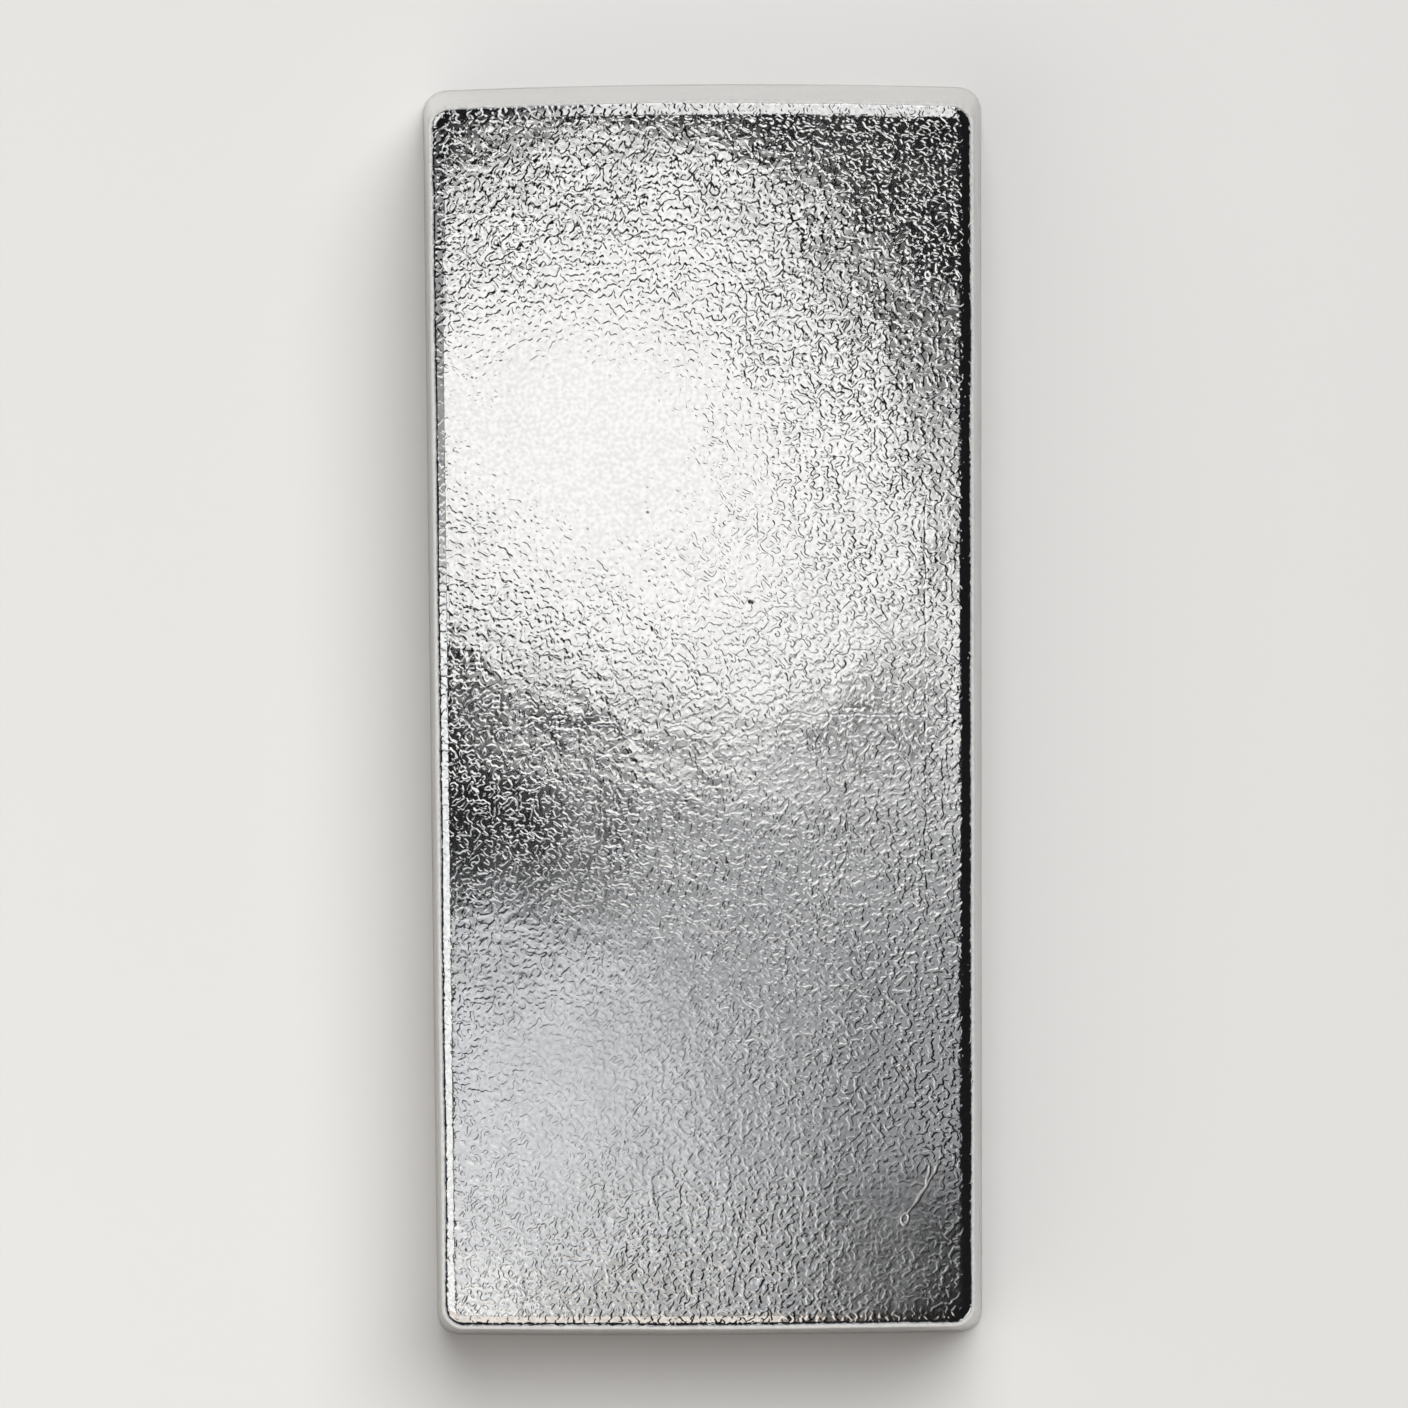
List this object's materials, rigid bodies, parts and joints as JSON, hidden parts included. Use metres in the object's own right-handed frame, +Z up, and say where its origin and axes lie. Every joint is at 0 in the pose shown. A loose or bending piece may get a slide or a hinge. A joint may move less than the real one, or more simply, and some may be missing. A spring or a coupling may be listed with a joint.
{
  "type": "metal ingot",
  "caption": "Oblong cast silver ingot with drafted sides, a rounded shoulder, slightly bowed ends and a rippled chill-cast face; raw stock to stack, store or melt.",
  "frame": {"origin": "centre of the base that the ingot rests on, under the middle of its bounding box", "axes": "+Z up, from the wide base to the narrower mould face; +Y along the ingot to its far, slightly wider end; +X across it"},
  "size_m": [0.0526, 0.118, 0.0162],
  "materials": {
    "cast_silver": "satin"
  },
  "bodies": {
    "root": {"ingot": "cast_silver"}
  },
  "joints": []
}
